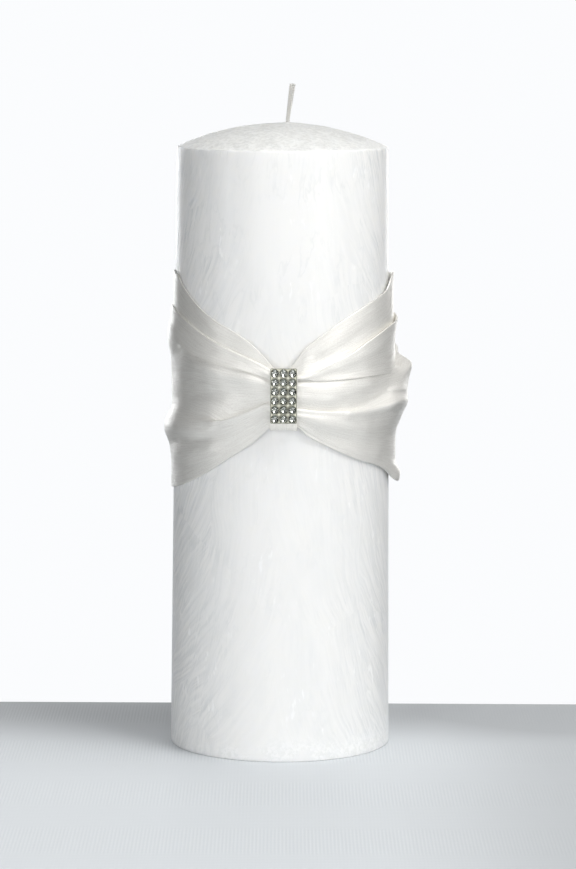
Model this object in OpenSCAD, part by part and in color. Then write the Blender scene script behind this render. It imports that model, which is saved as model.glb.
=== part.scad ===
// Unity candle: a white pillar with a braided wick, wrapped in a gathered satin
// sash that a rhinestone ornament holds at the front.
// Millimetres. The candle stands on z = 0 with its axis on Z, and its front faces -Y.

/* [Pillar] */
// Diameter of the wax at its foot
base_d = 76.2; // [74:0.1:80]
// Diameter of the wax at the rim below the dome
rim_d = 72.4; // [70:0.1:74]
// Height of the rim above the foot
rim_h = 206.8; // [190:0.1:230]
// Rise of the dome above the rim
dome_rise = 8.6; // [5:0.1:12]
// Radius of the rounded edge round the foot
foot_r = 1.2; // [0.6:0.1:2.4]
// Radius of the worn edge round the rim
edge_r = 0.6; // [0.3:0.1:1.2]

/* [Wick] */
// Distance of the wick to the right of the candle's axis
wick_x = 1.7; // [-3:0.1:3]
// Diameter of the waxed braid
wick_d = 1.7; // [1.5:0.1:2.6]
// Diameter of the braid at its cut end
wick_end_d = 2.1; // [1.6:0.1:2.8]
// Length of wick that stands free of the wax
wick_free = 13.2; // [6:0.1:20]
// Angle at which the free wick leans to the right
wick_lean = 7.5; // [0:0.5:15]
// Diameter of the wick tab pressed into the foot
tab_d = 19; // [15:0.5:24]
// Thickness of the wick tab's metal
tab_t = 0.4; // [0.3:0.1:0.6]
// Height of the tab's crimped neck
tab_neck_h = 7; // [4:0.5:10]

/* [Sash] */
// Height of the gather's middle above the foot
gather_h = 124.6; // [118:0.1:132]
// Height of the sash's upper edge at the sides and back
sash_top = 163.6; // [158:0.1:168]
// Height of the sash's lower edge at the sides and back
sash_foot = 90.6; // [86:0.1:96]
// Space between the wax and the cloth
sash_clear = 0.35; // [0.3:0.05:0.6]
// Depth of the folded cloth, measured from the wax
sash_depth = 3.0; // [2.8:0.1:3.4]
// How much further than that the loose fold on the right stands out
lobe_puff = 4.4; // [2:0.1:5]

/* [Ornament] */
// How far the ornament's middle sits above the gather's middle
ornament_rise = 1.0; // [0:0.1:1.5]
// Rows of stones, one above another
rows = 6; // [4:1:7]
// Stones in each row
cols = 3; // [2:1:3]
// Diameter of a stone at its girdle
stone_d = 2.7; // [2.4:0.05:2.75]
// Spacing of the stones across the ornament
pitch_x = 2.97; // [2.95:0.01:3.05]
// Spacing of the stones up the ornament
pitch_z = 3.08; // [3.0:0.01:3.1]
// Distance of the ornament's middle to the right of the candle's axis
ornament_x = 0.7; // [-1:0.1:1]

/* [Hidden] */
$fn = 96;
wick_bore_r = wick_d / 2 + 0.05;
wax_h = rim_h + dome_rise;
// Sphere that the dome is a cap of
dome_r = (pow(rim_d / 2, 2) + pow(dome_rise, 2)) / (2 * dome_rise);

tab_neck_r = wick_bore_r + 0.55;
tab_gap = 0.1;

ornament_w = cols * pitch_x;
ornament_h = rows * pitch_z;

// Loop of narrow satin round the gather, a little larger than the ornament
band_w = ornament_w + 1.5;
band_t = 0.4;
band_half_h = ornament_h / 2 + 1.5;
band_back_y = wax_radius(gather_h - band_half_h) + sash_clear;
band_front_y = band_back_y + 3.4;

// Gathered cloth inside the loop
gather_half_w = band_w / 2 + 1.3;
gather_half_h = band_half_h - band_t - 0.6;

// Thread that ties the gather under the loop
thread_t = 0.3;
thread_turns = 4;
thread_pitch = 0.9;
groove_half_w = 2.2;
groove_depth = 0.35;

// Ornament, from the loop outwards
pad_t = 0.25;
backing_t = 0.5;
cup_h = 1.1;
cup_wall = 0.09;
ornament_y = band_front_y + band_t + pad_t;
crown_h = 0.62;
girdle_h = 0.1;
pavilion_h = 0.8;

// Back seam
seam_x = 5;
stitch_count = 14;
stitch_l = 2.8;
stitch_t = 0.35;

STONES = [for (r = [1 : rows], c = [1 : cols]) [r, c]];
function stone_tag(rc) = str("r", rc[0], "_c", rc[1]);

// Radius of the tapered wax at a height
function wax_radius(z) = base_d / 2 - (base_d - rim_d) / 2 * z / rim_h;

// Points of an arc about [cx, cz], from angle a0 to a1
function arc(cx, cz, r, a0, a1, n) =
    [for (i = [0 : n]) let (a = a0 + (a1 - a0) * i / n) [cx + r * cos(a), cz + r * sin(a)]];

// Height of the dome at a radius
function dome_z(r) = wax_h - dome_r + sqrt(dome_r * dome_r - r * r);

// ---- Pillar -----------------------------------------------------------------

module wax_pillar() {
    rim_r = rim_d / 2;
    dome_edge_r = rim_r - edge_r - 0.35;
    steps = 18;
    color("ivory")
    difference() {
        rotate_extrude()
            polygon(concat(
                [[0, 0]],
                arc(base_d / 2 - foot_r, foot_r, foot_r, -90, 0, 6),
                arc(rim_r - edge_r, rim_h - edge_r * 0.6, edge_r, 0, 68, 4),
                [for (i = [steps : -1 : 0]) let (r = dome_edge_r * i / steps) [r, dome_z(r)]]
            ));
        translate([wick_x, 0, -1])
            cylinder(r = wick_bore_r, h = wax_h + 2);
        translate([wick_x, 0, -1])
            cylinder(r = tab_d / 2 + tab_gap, h = 1 + tab_t + tab_gap);
        translate([wick_x, 0, -1])
            cylinder(r = tab_neck_r + tab_gap, h = 1 + tab_neck_h + tab_gap);
    }
}

// Braid up the middle of the wax, then leaning over above the dome
module wick() {
    foot_z = tab_t + 0.2;
    bend_z = wax_h + wick_d / 2;
    color("whitesmoke")
    translate([wick_x, 0, 0])
        union() {
            translate([0, 0, foot_z])
                cylinder(d = wick_d, h = bend_z - foot_z);
            translate([0, 0, bend_z])
                sphere(d = wick_d);
            translate([0, 0, bend_z])
                rotate([0, wick_lean, 0])
                    cylinder(d1 = wick_d, d2 = wick_end_d, h = wick_free - wick_d / 2);
        }
}

// Stamped metal tab, closed below, with the neck that is crimped on the wick
module wick_tab() {
    color("silver")
    translate([wick_x, 0, 0])
        difference() {
            union() {
                cylinder(d = tab_d, h = tab_t);
                cylinder(r = tab_neck_r, h = tab_neck_h);
            }
            translate([0, 0, tab_t + 0.1])
                cylinder(r = wick_bore_r, h = tab_neck_h);
        }
}

// ---- Sash -------------------------------------------------------------------

// Tapered tube that follows the wax at a distance
module wax_offset(distance, z0, z1) {
    translate([0, 0, z0])
        cylinder(r1 = wax_radius(z0) + distance, r2 = wax_radius(z1) + distance, h = z1 - z0);
}

// Loose fold that stands off the candle on the right
module lobe() {
    r = wax_radius(gather_h) + sash_depth + 0.5;
    translate([lobe_puff - 0.5, 0, gather_h - 2.6])
        rotate_extrude()
            polygon([[0, -15], [r - 4, -15], [r - 0.8, -10], [r, -4], [r, 4], [r - 1, 11], [r - 4, 15], [0, 15]]);
}

// Outline of the sash from the front: full width at the sides, narrow at the gather
module sash_outline() {
    side = 36;
    far = 60;
    low = gather_h - gather_half_h;
    high = gather_h + gather_half_h;
    polygon([
        [-far, sash_foot], [-side, sash_foot], [-26, 97], [-16, 104.5], [-gather_half_w, low],
        [gather_half_w, low], [13, 109], [27, 101.5], [side, sash_foot + 4], [far, sash_foot + 4],
        [far, sash_top - 2], [side, sash_top - 2], [27, 153.5], [13, 145], [gather_half_w, high],
        [-gather_half_w, high], [-12, 143.5], [-27, 153], [-side, sash_top], [-far, sash_top]
    ]);
}

module satin_sash() {
    far = 80;
    band_z0 = gather_h - band_half_h - 0.2;
    groove_half_h = gather_half_h - groove_depth;
    color("floralwhite")
    difference() {
        union() {
            wax_offset(sash_depth, sash_foot, sash_top);
            lobe();
        }
        wax_offset(sash_clear, sash_foot - 1, sash_top + 1);
        // Open the front half above and below the gather
        rotate([90, 0, 0])
            linear_extrude(far)
                difference() {
                    square([2 * far, 4 * far], center = true);
                    sash_outline();
                }
        // Room for the loop's back ply
        translate([ornament_x - band_w / 2 - 0.2, -band_back_y - band_t - 0.1, band_z0])
            cube([band_w + 0.4, 4, 2 * band_half_h + 0.4]);
        // Groove that the thread lies in, in front and behind
        for (y = [-band_back_y - band_t - groove_depth - 0.1, -band_front_y - 1 + groove_depth + 0.3])
            translate([ornament_x - groove_half_w, y, band_z0])
                cube([2 * groove_half_w, 1, 2 * band_half_h + 0.4]);
        for (s = [-1, 1])
            translate([ornament_x - groove_half_w, -50, gather_h + s * (groove_half_h + 5) - 5])
                cube([2 * groove_half_w, 30, 10]);
    }
}

// Narrow loop of satin round the gathered cloth
module centre_band() {
    depth = band_front_y - band_back_y + band_t;
    color("floralwhite")
    translate([ornament_x - band_w / 2, -band_front_y - band_t, gather_h - band_half_h])
        difference() {
            cube([band_w, depth, 2 * band_half_h]);
            translate([-1, band_t, band_t])
                cube([band_w + 2, depth - 2 * band_t, 2 * (band_half_h - band_t)]);
        }
}

// Turns of thread that draw the cloth together under the loop
module gather_thread() {
    y_back = -band_back_y - band_t - 0.05;
    y_front = -band_front_y + 0.2;
    half_h = gather_half_h - groove_depth + thread_t + 0.05;
    color("white")
    for (i = [0 : thread_turns - 1])
        translate([ornament_x + (i - (thread_turns - 1) / 2) * thread_pitch - thread_t / 2, y_front, gather_h])
            difference() {
                translate([0, 0, -half_h])
                    cube([thread_t, y_back - y_front, 2 * half_h]);
                translate([-1, thread_t, -half_h + thread_t])
                    cube([thread_t + 2, y_back - y_front - 2 * thread_t, 2 * (half_h - thread_t)]);
            }
}

// Running stitch down the overlap at the back
module seam_stitches() {
    end_gap = 4;
    run = sash_top - sash_foot - 2 * end_gap;
    color("white")
    for (i = [0 : stitch_count - 1]) {
        z = sash_foot + end_gap + run * (i + 0.5) / stitch_count;
        cloth_r = wax_radius(z) + sash_depth;
        y = sqrt(cloth_r * cloth_r - seam_x * seam_x);
        translate([seam_x, y, z])
            cube([stitch_t, stitch_t, stitch_l], center = true);
    }
}

// ---- Ornament ---------------------------------------------------------------

// Puts a child at the ornament's middle, its +Z turned to face the front
module on_ornament(y) {
    translate([ornament_x, -y, gather_h + ornament_rise])
        rotate([90, 0, 0])
            children();
}

// Middle of a stone in the ornament's own plane
function stone_xy(rc) = [
    (rc[1] - (cols + 1) / 2) * pitch_x,
    ((rows + 1) / 2 - rc[0]) * pitch_z
];

module adhesive_pad() {
    color("lightyellow")
    on_ornament(band_front_y + band_t)
        linear_extrude(pad_t)
            square([ornament_w - 1, ornament_h - 1], center = true);
}

// Cream plate with a bead in each gap between four stones
module ornament_backing() {
    corner = 0.4;
    color("cornsilk")
    on_ornament(ornament_y)
        union() {
            linear_extrude(backing_t)
                union() {
                    square([ornament_w, ornament_h - 2 * corner], center = true);
                    square([ornament_w - 2 * corner, ornament_h], center = true);
                    for (x = [-1, 1], y = [-1, 1])
                        translate([x * (ornament_w / 2 - corner), y * (ornament_h / 2 - corner)])
                            circle(corner);
                }
            for (i = [1 : cols - 1], j = [1 : rows - 1])
                translate([(i - cols / 2) * pitch_x, (j - rows / 2) * pitch_z, 0])
                    cylinder(r = 0.42, h = backing_t + 0.9);
        }
}

// Metal cup with a conical seat and four prongs on its diagonals
module cup(rc) {
    wall_r = stone_d / 2 + cup_wall;
    prong_r = 0.17;
    color("silver")
    on_ornament(ornament_y + backing_t)
        translate(stone_xy(rc))
            difference() {
                union() {
                    cylinder(r = wall_r, h = cup_h, $fn = 48);
                    for (a = [45 : 90 : 315])
                        rotate(a)
                            translate([wall_r - 0.05, 0, cup_h - 0.4])
                                cylinder(r = prong_r, h = 0.75, $fn = 16);
                }
                translate([0, 0, cup_h - pavilion_h - 0.12])
                    cylinder(r1 = 0.05, r2 = stone_d / 2 + 0.03, h = pavilion_h, $fn = 48);
                translate([0, 0, cup_h - 0.13])
                    cylinder(r = stone_d / 2 + 0.03, h = 1, $fn = 48);
            }
}

// Round brilliant stone: table, eight stars, eight kites, sixteen upper facets, pavilion
module stone(rc) {
    r = stone_d / 2;
    function ring(radius, z, n, turn) =
        [for (i = [0 : n - 1]) let (a = turn + 360 * i / n) [radius * cos(a), radius * sin(a), z]];
    points = concat(
        ring(r * 0.54, girdle_h + crown_h, 8, 0),
        ring(r * 0.80, girdle_h + crown_h * 0.58, 8, 22.5),
        ring(r, girdle_h, 16, 0),
        ring(r, 0, 16, 0),
        [[0, 0, -pavilion_h]]
    );
    table = 0;
    star = 8;
    girdle = 16;
    under = 32;
    culet = 48;
    faces = concat(
        [[for (i = [7 : -1 : 0]) table + i]],
        [for (i = [0 : 7]) [table + i, table + (i + 1) % 8, star + i]],
        [for (i = [0 : 7]) [table + i, star + i, girdle + 2 * i]],
        [for (i = [0 : 7]) [table + i, girdle + 2 * i, star + (i + 7) % 8]],
        [for (i = [0 : 7]) [star + i, girdle + 2 * i + 1, girdle + 2 * i]],
        [for (i = [0 : 7]) [star + i, girdle + (2 * i + 2) % 16, girdle + 2 * i + 1]],
        [for (j = [0 : 15]) [girdle + j, girdle + (j + 1) % 16, under + (j + 1) % 16, under + j]],
        [for (j = [0 : 15]) [under + j, under + (j + 1) % 16, culet]]
    );
    color("lightsteelblue")
    on_ornament(ornament_y + backing_t + cup_h - 0.1)
        translate(stone_xy(rc))
            polyhedron(points, faces);
}

wax_pillar();
wick();
wick_tab();
satin_sash();
centre_band();
gather_thread();
seam_stitches();
adhesive_pad();
ornament_backing();
for (rc = STONES) {
    cup(rc);
    stone(rc);
}
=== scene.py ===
"""Looks of the unity candle: a white palm-wax pillar in a gathered satin sash with a rhinestone
ornament. Metres throughout; sizes named in millimetres carry MM."""

import math

import bpy
import numpy as np
from mathutils import Matrix, Vector, noise


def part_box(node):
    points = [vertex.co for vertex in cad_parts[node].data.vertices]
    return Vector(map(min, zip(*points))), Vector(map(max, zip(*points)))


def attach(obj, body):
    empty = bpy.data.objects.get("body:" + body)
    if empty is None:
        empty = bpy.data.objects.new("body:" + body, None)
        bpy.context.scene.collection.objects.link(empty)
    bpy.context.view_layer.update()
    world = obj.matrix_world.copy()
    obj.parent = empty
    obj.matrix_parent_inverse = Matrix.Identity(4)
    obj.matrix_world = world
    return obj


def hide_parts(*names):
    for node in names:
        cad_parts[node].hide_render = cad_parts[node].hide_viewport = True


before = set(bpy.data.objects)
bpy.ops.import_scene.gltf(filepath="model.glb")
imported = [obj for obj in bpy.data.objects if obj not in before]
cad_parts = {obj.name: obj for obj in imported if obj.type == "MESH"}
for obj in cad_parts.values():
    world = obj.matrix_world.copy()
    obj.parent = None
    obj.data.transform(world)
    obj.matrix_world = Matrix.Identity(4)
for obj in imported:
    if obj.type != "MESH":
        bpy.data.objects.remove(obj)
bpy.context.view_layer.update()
MM = 0.001

# ---- Driving dimensions, from the frame ----

WAX_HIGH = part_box("wax_pillar")[1]
WICK_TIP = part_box("wick")[1][2]
TAB_LOW, TAB_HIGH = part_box("wick_tab")
BAND_LOW, BAND_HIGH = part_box("centre_band")
STONE_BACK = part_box("stone_r1_c1")[1][1]

FOOT_R = WAX_HIGH[0]
FOOT_ROUND = 0.4 * MM
WAX_TOP = WAX_HIGH[2]
# Rise of the CAD dome, and the share of it that matches the photograph
DOME_RISE = 8.6 * MM
DOME_SHARE = 0.94
RIM_Z = WAX_TOP - DOME_RISE
RIM_R = 36.2 * MM
RIM_ROUND = 0.45 * MM
TAB_R = (TAB_HIGH[0] - TAB_LOW[0]) / 2
TAB_RECESS = 0.5 * MM
WICK_X = (TAB_HIGH[0] + TAB_LOW[0]) / 2
WICK_R = 0.85 * MM
WICK_LEAN = math.radians(7.5)
BAND_X = (BAND_LOW[0] + BAND_HIGH[0]) / 2
BAND_HALF_W = (BAND_HIGH[0] - BAND_LOW[0]) / 2


def wax_radius(z):
    """Radius of the tapered wax at a height."""
    return FOOT_R - (FOOT_R - RIM_R) * z / RIM_Z


def dome_height(r):
    """Height of the dome at a distance from the axis."""
    cap = (RIM_R**2 + DOME_RISE**2) / (2 * DOME_RISE)
    return WAX_TOP - cap + math.sqrt(cap * cap - r * r)


# ---- Mesh helpers ----


def make_piece(name, points, faces, material, body, smooth=True, uv=None):
    """A mesh piece that rides on a body. uv is one (u, v) for each point."""
    mesh = bpy.data.meshes.new(name)
    mesh.from_pydata([tuple(p) for p in points], [], faces)
    mesh.update()
    piece = bpy.data.objects.new(name, mesh)
    bpy.context.scene.collection.objects.link(piece)
    if smooth:
        mesh.polygons.foreach_set("use_smooth", [True] * len(mesh.polygons))
    if uv is not None:
        layer = mesh.uv_layers.new(name="Cloth")
        corners = np.zeros(len(mesh.loops), dtype=np.int32)
        mesh.loops.foreach_get("vertex_index", corners)
        layer.data.foreach_set("uv", np.asarray(uv, dtype=np.float32)[corners].ravel())
    mesh.materials.append(material)
    if body:
        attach(piece, body)
    return piece


def grid_faces(rows, cols, wrap=False):
    """Quads of a grid of rows x cols points; wrap joins each row's end to its start."""
    faces = []
    last = cols if wrap else cols - 1
    for r in range(rows - 1):
        for c in range(last):
            d = (c + 1) % cols
            faces.append((r * cols + c, r * cols + d, (r + 1) * cols + d, (r + 1) * cols + c))
    return faces


def eased(t):
    """Smooth step from 0 to 1 as t goes from 0 to 1."""
    t = np.clip(t, 0, 1)
    return t * t * (3 - 2 * t)


def thicken(piece, thickness):
    """Gives a sheet its thickness, half to each side."""
    skin = piece.modifiers.new("thickness", "SOLIDIFY")
    skin.thickness = thickness
    skin.offset = 0


def ring_face(base, count, flipped=False):
    """One face over a ring of points."""
    ring = tuple(range(base, base + count))
    return ring[::-1] if flipped else ring


def slopes(x, y):
    """Tangents of the smooth curve through points, level at each turning point."""
    step = np.diff(x)
    rise = np.diff(y) / step
    tangents = np.zeros(len(x))
    tangents[0] = rise[0]
    tangents[-1] = rise[-1]
    for i in range(1, len(x) - 1):
        if rise[i - 1] * rise[i] > 0:
            a = 2 * step[i] + step[i - 1]
            b = step[i] + 2 * step[i - 1]
            tangents[i] = (a + b) / (a / rise[i - 1] + b / rise[i])
    return tangents


def smooth_curve(x, y, at):
    """Values at `at` of the smooth curve through the points x, y, which never overshoots them."""
    x = np.asarray(x, dtype=float)
    y = np.asarray(y, dtype=float)
    tangents = slopes(x, y)
    i = np.clip(np.searchsorted(x, at, side="right") - 1, 0, len(x) - 2)
    h = x[i + 1] - x[i]
    t = np.clip((at - x[i]) / h, 0, 1)
    return (
        y[i] * (1 + 2 * t) * (1 - t) ** 2
        + tangents[i] * h * t * (1 - t) ** 2
        + y[i + 1] * t * t * (3 - 2 * t)
        + tangents[i + 1] * h * t * t * (t - 1)
    )


# ---- Material helpers ----


class Shade:
    """One material and short spellings for its nodes. Arguments may be numbers or sockets."""

    def __init__(self, name):
        self.material = bpy.data.materials.new(name)
        self.material.use_nodes = True
        self.tree = self.material.node_tree
        self.tree.nodes.clear()
        self.output = self.tree.nodes.new("ShaderNodeOutputMaterial")
        self.surface = self.tree.nodes.new("ShaderNodeBsdfPrincipled")
        self.tree.links.new(self.surface.outputs[0], self.output.inputs["Surface"])

    def put(self, socket, value):
        if isinstance(value, bpy.types.NodeSocket):
            self.tree.links.new(value, socket)
        elif value is not None:
            if socket.type == "RGBA" and len(value) == 3:
                value = (*value, 1)
            socket.default_value = value

    def node(self, kind, inputs=(), **settings):
        made = self.tree.nodes.new(kind)
        for key, value in settings.items():
            setattr(made, key, value)
        for key, value in dict(inputs).items():
            self.put(made.inputs[key], value)
        return made

    def set(self, **values):
        """Sets the surface's own sockets, with _ for a space in a socket's name."""
        for key, value in values.items():
            self.put(self.surface.inputs[key.replace("_", " ")], value)

    def math(self, operation, a, b=None):
        made = self.node("ShaderNodeMath", operation=operation)
        for socket, value in zip(made.inputs, (a, b)):
            self.put(socket, value)
        return made.outputs[0]

    def plus(self, a, b):
        return self.math("ADD", a, b)

    def minus(self, a, b):
        return self.math("SUBTRACT", a, b)

    def times(self, a, b):
        return self.math("MULTIPLY", a, b)

    def vector(self, operation, a, b=None, out=0):
        made = self.node("ShaderNodeVectorMath", operation=operation)
        self.put(made.inputs[0], a)
        self.put(made.inputs["Scale"] if operation == "SCALE" else made.inputs[1], b)
        return made.outputs[out]

    def stretch(self, vector, x, y, z):
        return self.vector("MULTIPLY", vector, (x, y, z))

    def combine(self, x, y, z):
        return self.node("ShaderNodeCombineXYZ", {"X": x, "Y": y, "Z": z}).outputs[0]

    def split(self, vector):
        return self.node("ShaderNodeSeparateXYZ", {"Vector": vector}).outputs

    def place(self):
        return self.node("ShaderNodeTexCoord").outputs["Object"]

    def uv(self, name):
        return self.node("ShaderNodeUVMap", uv_map=name).outputs[0]

    def noise(self, vector, scale, detail=2.0, roughness=0.5, colour=False):
        made = self.node(
            "ShaderNodeTexNoise",
            {"Vector": vector, "Scale": scale, "Detail": detail, "Roughness": roughness},
        )
        return made.outputs["Color" if colour else "Fac"]

    def cells(self, vector, scale):
        return self.node("ShaderNodeTexVoronoi", {"Vector": vector, "Scale": scale})

    def range(self, value, low, high, to_low=0.0, to_high=1.0):
        """A smooth step from to_low at low to to_high at high. low may be the larger."""
        made = self.node(
            "ShaderNodeMapRange",
            {"Value": value, "From Min": low, "From Max": high, "To Min": to_low, "To Max": to_high},
            interpolation_type="SMOOTHSTEP",
        )
        return made.outputs[0]

    def blend(self, factor, a, b):
        """A colour between a and b."""
        made = self.node("ShaderNodeMix", data_type="RGBA")
        self.put(made.inputs[0], factor)
        self.put(made.inputs[6], a)
        self.put(made.inputs[7], b)
        return made.outputs[2]

    def bump(self, height, distance, strength):
        inputs = {"Strength": strength, "Distance": distance, "Height": height}
        return self.node("ShaderNodeBump", inputs).outputs[0]


# ---- Camera ----

# From a pinhole fit to the candle's outline in the photograph
CAMERA_AT = Vector((0, -1.1786, 0.2593))
CAMERA_PITCH = math.radians(7.348)
CAMERA_YAW = math.radians(0.113)
CAMERA_ROLL = math.radians(0.29)
CAMERA_LENS = 142.11


def make_camera():
    data = bpy.data.cameras.new("camera")
    data.lens = CAMERA_LENS
    data.sensor_width = 36
    data.clip_start = 0.05
    data.clip_end = 20
    camera = bpy.data.objects.new("camera", data)
    bpy.context.scene.collection.objects.link(camera)
    turn = (
        Matrix.Rotation(-CAMERA_YAW, 4, "Z")
        @ Matrix.Rotation(math.pi / 2 - CAMERA_PITCH, 4, "X")
        @ Matrix.Rotation(CAMERA_ROLL, 4, "Z")
    )
    camera.matrix_world = Matrix.Translation(CAMERA_AT) @ turn
    bpy.context.scene.camera = camera


# ---- Wax pillar ----

RING_POINTS = 400
SIDE_STEPS = 170
DOME_STEPS = 78


def wax_profile():
    """(radius, height, centre x) of each ring, from the middle of the foot to the wick. A height of
    None is on the dome."""
    rings = [(TAB_R * f, TAB_RECESS, WICK_X) for f in (0.1, 0.4, 0.7, 1.0)]
    rings.append((TAB_R + 0.12 * MM, TAB_RECESS * 0.9, WICK_X))
    rings.append((TAB_R + 0.15 * MM, 0, WICK_X))
    flat_r = FOOT_R - FOOT_ROUND
    rings += [(TAB_R + (flat_r - TAB_R) * i / 12, 0, WICK_X * (1 - i / 12)) for i in range(1, 13)]
    for i in range(1, 7):
        a = math.radians(15 * i)
        rings.append((flat_r + FOOT_ROUND * math.sin(a), FOOT_ROUND * (1 - math.cos(a)), 0))
    side_low = FOOT_ROUND + 0.8 * MM
    side_high = RIM_Z - RIM_ROUND * 1.2
    for i in range(SIDE_STEPS + 1):
        z = side_low + (side_high - side_low) * i / SIDE_STEPS
        rings.append((wax_radius(z), z, 0))
    centre_r = wax_radius(RIM_Z) - RIM_ROUND
    for i in range(1, 6):
        a = math.radians(14 * i)
        z = RIM_Z - RIM_ROUND * 0.75 + RIM_ROUND * math.sin(a)
        rings.append((centre_r + RIM_ROUND * math.cos(a), z, 0))
    inner_r = WICK_R * 0.6
    for i in range(DOME_STEPS + 1):
        f = 1 - i / DOME_STEPS
        rings.append((inner_r + (centre_r - 0.4 * MM - inner_r) * f, None, WICK_X * (1 - f) ** 2))
    return rings


def dome_point(x, y):
    """Height of the granular dome, drawn a little up the wick."""
    base = RIM_Z + (dome_height(min(math.hypot(x, y), RIM_R)) - RIM_Z) * DOME_SHARE
    to_wick = math.hypot(x - WICK_X, y)
    from_rim = RIM_R - math.hypot(x, y)
    grain = noise.fractal(Vector((x, y, 0.3)) / (2.2 * MM), 0.9, 2.1, 4)
    lumps = noise.noise(Vector((x, y, 0.7)) / (9 * MM))
    settle = min(1.0, max(0.0, from_rim / (2 * MM)))
    cone = 0.08 * MM * math.exp(-to_wick / (4 * MM))
    collar = 0.30 * MM * math.exp(-((max(0.0, to_wick - WICK_R) / (0.6 * MM)) ** 1.2))
    return base + settle * (0.10 * MM * grain + 0.16 * MM * lumps) + cone + collar


def side_point(a, r, z, centre_x):
    """A point of a ring below the dome: slow casting waves on the side, and small chips at the rim."""
    c, s = math.cos(a), math.sin(a)
    if z > FOOT_ROUND:
        slow = noise.noise(Vector((c * 1.4, s * 1.4, z / (60 * MM))))
        flow = noise.noise(Vector((c * 9, s * 9, z / (25 * MM) + 5)))
        r += (0.09 * MM * slow + 0.03 * MM * flow) * min(1.0, (z - FOOT_ROUND) / (4 * MM))
    near_rim = max(0.0, 1 - abs(RIM_Z - z) / (2.2 * MM))
    chip = noise.noise(Vector((c, s, 0.2)) * 11) + 0.6 * noise.noise(Vector((c, s, 0.8)) * 30)
    z += near_rim * 0.30 * MM * chip
    r += near_rim * 0.10 * MM * noise.noise(Vector((c, s, 0.5)) * 22)
    return centre_x + r * c, r * s, z


def make_wax(material):
    """The pillar, its foot recessed round the wick tab."""
    points = []
    rings = wax_profile()
    for r, z, centre_x in rings:
        for k in range(RING_POINTS):
            a = 2 * math.pi * k / RING_POINTS
            if z is None:
                x, y = centre_x + r * math.cos(a), r * math.sin(a)
                points.append((x, y, dome_point(x, y)))
            else:
                points.append(side_point(a, r, z, centre_x))
    faces = grid_faces(len(rings), RING_POINTS, wrap=True)
    faces.append(ring_face(0, RING_POINTS, flipped=True))
    faces.append(ring_face((len(rings) - 1) * RING_POINTS, RING_POINTS))
    wax = make_piece("palm_wax_pillar", points, faces, material, "candle")
    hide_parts("wax_pillar")


def crystal_fans(shade, place, width, tall, lean, seed):
    """Palm-wax crystals: each cell is a fan of fibres that spread upwards from its own root. Gives
    the fibres, and one chance value for each fan."""
    offset = shade.combine(seed * 0.37, seed * 0.71, seed * 0.13)
    seeded = shade.vector("ADD", place, offset)
    drift = shade.vector("SUBTRACT", shade.noise(seeded, 0.5 / width, 3, colour=True), (0.5, 0.5, 0.5))
    moved = shade.vector("ADD", seeded, shade.vector("SCALE", drift, width * 0.45))
    cell = shade.cells(shade.stretch(moved, 1, 1, 1 / tall), 1 / width)
    middle = shade.stretch(cell.outputs["Position"], 1, 1, tall)
    local = shade.vector("SUBTRACT", moved, middle)
    outward = shade.vector("NORMALIZE", shade.stretch(place, 1, 1, 0))
    tangent = shade.vector("CROSS_PRODUCT", (0, 0, 1), outward)
    across = shade.vector("DOT_PRODUCT", local, tangent, out=1)
    along = shade.split(local)[2]
    chance = shade.split(cell.outputs["Color"])
    sway = shade.times(shade.minus(chance[0], 0.5), 0.45)
    tilt = shade.plus(shade.times(shade.split(outward)[0], lean), sway)
    cosine = shade.math("COSINE", tilt)
    sine = shade.math("SINE", tilt)
    off_spine = shade.plus(shade.times(across, cosine), shade.times(along, sine))
    up_spine = shade.minus(shade.times(along, cosine), shade.times(across, sine))
    above_root = shade.plus(up_spine, width * tall * 1.7)
    fan_angle = shade.math("ARCTAN2", off_spine, above_root)
    strokes = shade.combine(
        shade.times(fan_angle, 72), shade.times(above_root, 0.04 / MM), shade.times(chance[1], 60)
    )
    return shade.noise(strokes, 1.0, 3, 0.6), chance[2]


def wax_veins(shade, place, z):
    """Thin wandering seams between crystals, in patches, clearest above the sash."""
    drift = shade.vector("SUBTRACT", shade.noise(place, 34, 2, colour=True), (0.5, 0.5, 0.5))
    moved = shade.vector("ADD", place, shade.vector("SCALE", drift, 12 * MM))
    level = shade.noise(shade.stretch(moved, 1, 1, 0.3), 90, 4, 0.62)
    seam = shade.range(shade.math("ABSOLUTE", shade.minus(level, 0.5)), 0.022, 0.002)
    patch = shade.range(shade.noise(place, 58, 2), 0.44, 0.60)
    share = shade.range(z, 120 * MM, 150 * MM, 0.14, 0.26)
    return shade.times(shade.times(seam, patch), share)


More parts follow.
